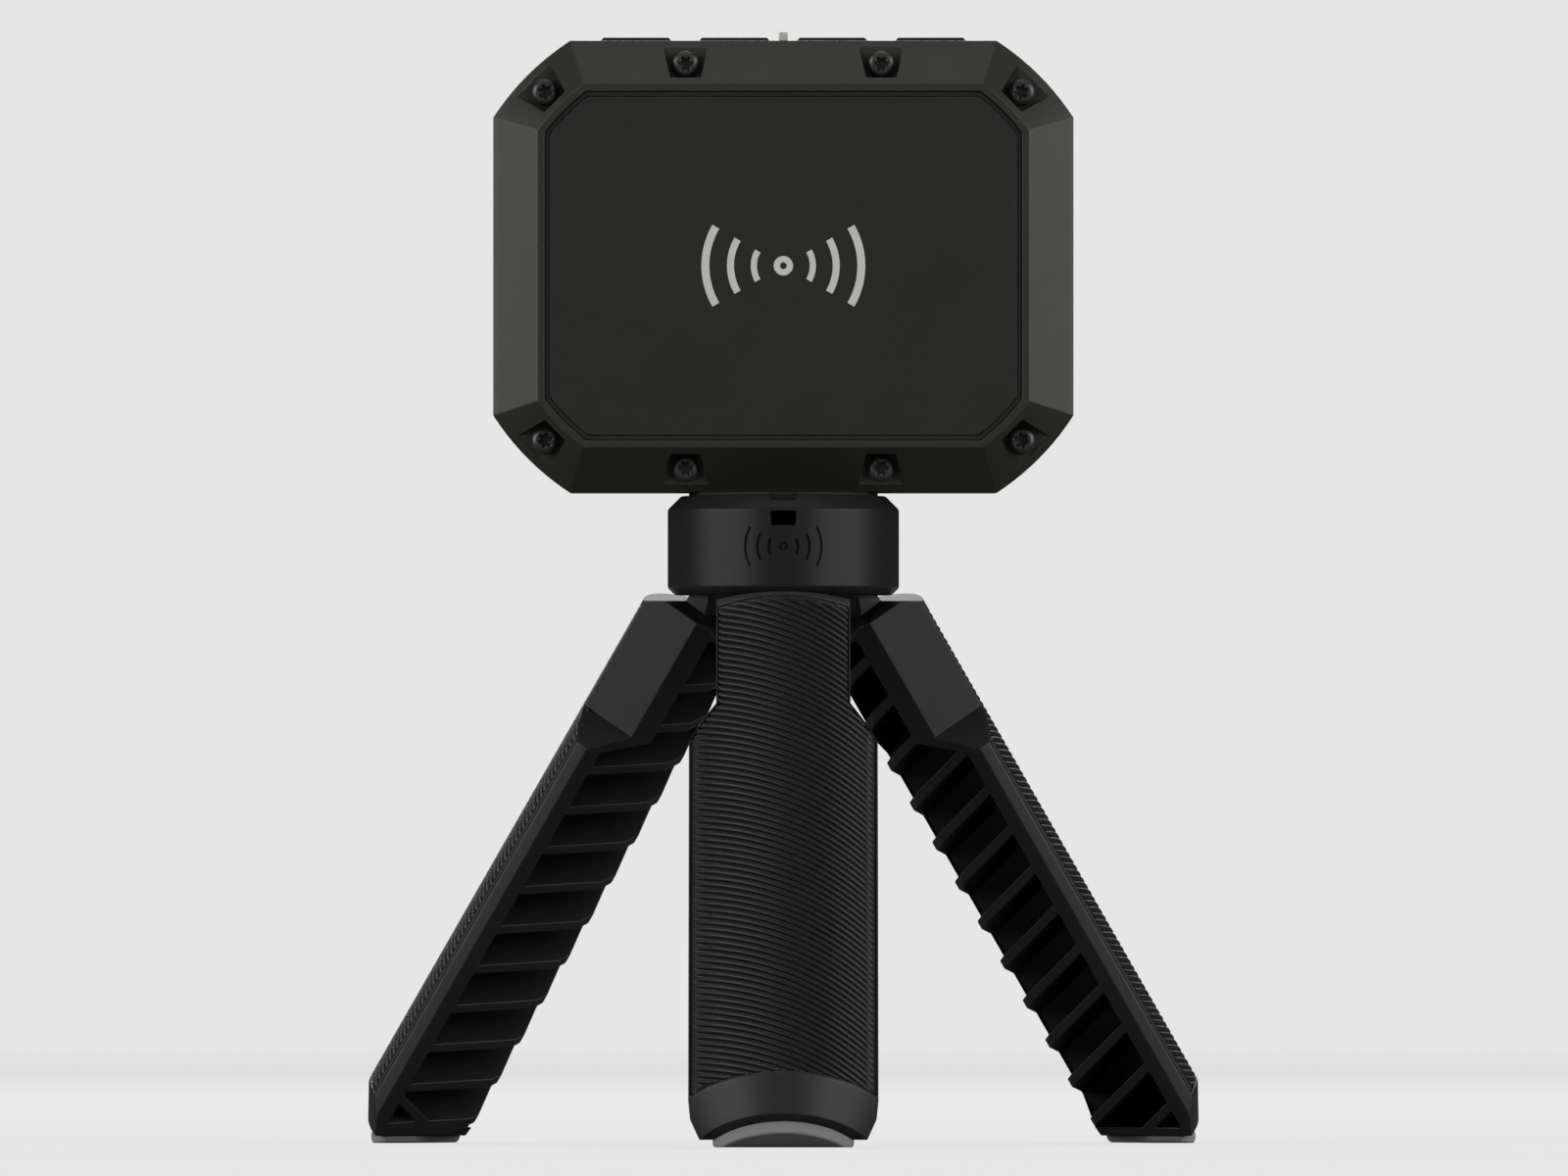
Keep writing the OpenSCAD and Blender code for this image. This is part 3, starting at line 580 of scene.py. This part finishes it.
def make_stud():
    """The mounting stud with its real thread."""
    rings, angle = stud_rings()
    vertices = []
    for height, radius in rings:
        level = np.full(STUD_SIDES, height)
        vertices.extend(np.stack([radius * np.cos(angle), AXIS_Y + radius * np.sin(angle), level], axis=-1))
    last = (len(rings) - 1) * STUD_SIDES
    faces = [tuple(range(STUD_SIDES))[::-1], tuple(range(last, last + STUD_SIDES))]
    for ring in range(0, last, STUD_SIDES):
        for j in range(STUD_SIDES):
            after = (j + 1) % STUD_SIDES
            above = ring + STUD_SIDES
            faces.append((ring + j, ring + after, above + after, above + j))
    obj = add_object("threaded_stud", mesh_from("threaded_stud", vertices, faces))
    shade(obj, "steel", crease=35)
    place(obj, "mount_stud")


# A plain mark of a dot with waves on both sides: inner and outer radii, as shares of its half width
DOT = (0.0385, 0.11)
WAVES = ((0.30, 0.37), (0.56, 0.64), (0.84, 0.93))
WAVE_SPREAD = math.radians(30)
DOT_POINTS = 33
WAVE_POINTS = 25


def mark_strips(half_width):
    """The mark as strips of paired points in a plane: (inner points, outer points) each."""
    arcs = [(DOT, math.pi, math.pi, DOT_POINTS)]
    for middle in (0, math.pi):
        arcs += [(wave, middle, WAVE_SPREAD, WAVE_POINTS) for wave in WAVES]
    strips = []
    for (inner, outer), middle, spread, count in arcs:
        turn = np.linspace(middle - spread, middle + spread, count)
        ray = np.stack([np.cos(turn), np.sin(turn)], -1)
        strips.append((inner * half_width * ray, outer * half_width * ray))
    return strips


def solid_mark(name, half_width, back, front):
    """The mark as closed solids between two surfaces, given as functions of a point in its plane."""
    vertices, faces = [], []
    for inner, outer in mark_strips(half_width):
        base = len(vertices)
        count = len(inner)
        for where in (back, front):
            vertices.extend(where(p) for p in inner)
            vertices.extend(where(p) for p in outer)
        for k in range(count - 1):
            a, b, c, d = base + k, base + count + k, base + 2 * count + k, base + 3 * count + k
            faces += [(a, b, b + 1, a + 1), (c, c + 1, d + 1, d), (a, a + 1, c + 1, c), (b, d, d + 1, b + 1)]
        closed = np.allclose(inner[0], inner[-1])
        if not closed:
            for k in (base, base + count - 1):
                faces.append((k, k + 2 * count, k + 3 * count, k + count))
    return add_object(name, mesh_from(name, vertices, faces, weld=0.001))


COLLAR_MARK_Z = 91.6
COLLAR_MARK_HALF = 6.6
COLLAR_MARK_DEPTH = 0.4


def make_collar():
    """The collar, with the mark sunk into its front."""
    collar = rounded_copy("collar", "ringed_collar", 0.28, corner=30)
    radius = high("collar")[0]

    def wrapped(at):
        def where(p):
            angle = p[0] / radius
            return (at * math.sin(angle), AXIS_Y - at * math.cos(angle), COLLAR_MARK_Z + p[1])
        return where

    inside = wrapped(radius - COLLAR_MARK_DEPTH)
    outside = wrapped(radius + 1)
    carve(collar, solid_mark("collar_mark", COLLAR_MARK_HALF, inside, outside))
    shade(collar, "stand_plastic")
    place(collar, "collar")


def make_stand():
    make_collar()
    make_stud()
    refine("leg_hub", "hinge_hub", 0.15)
    refine("mount_pad", "rubber_washer", 0.12)


# ---------------------------------------------------------------- the head


PANEL_MARK_HALF = 13.5
PRINT_SUNK = 0.01       # how deep the print starts inside the panel
PRINT_PROUD = 0.02      # and how far it stands in front of it


def make_print():
    """The mark printed on the panel."""
    def at(depth):
        return lambda p: (p[0], PANEL_Y + depth, HEAD_Z + p[1])

    obj = solid_mark("panel_print", PANEL_MARK_HALF, at(PRINT_SUNK), at(-PRINT_PROUD))
    shade(obj, "ink")
    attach(obj, "head")


def make_head():
    refine("front_bezel", "moulded_bezel", 0.12, corner=20, shortest=0.9)
    refine("radome_panel", "radar_window", 0.16)
    refine("panel_gasket", "window_gasket", 0.1)
    refine("rear_housing", "rear_shell", 0.25, corner=20)
    refine("bezel_screws", "cover_screws", 0.14)
    refine("top_pads", "rest_pads", 0.12)
    refine("sight_rib", "aiming_rib", 0.2)
    refine("light_pipe", "led_lens", 0.15)
    refine("power_button", "round_button", 0.3)
    refine("usb_cap", "socket_cap", 0.2)
    make_print()


# ---------------------------------------------------------------- everything together

make_camera()
make_light()
make_floor()

for node in NODES.values():
    node.data.materials.clear()
    node.data.materials.append(MATERIALS[NODE_SLOTS[node.name]])

make_legs()
make_stand()
make_head()
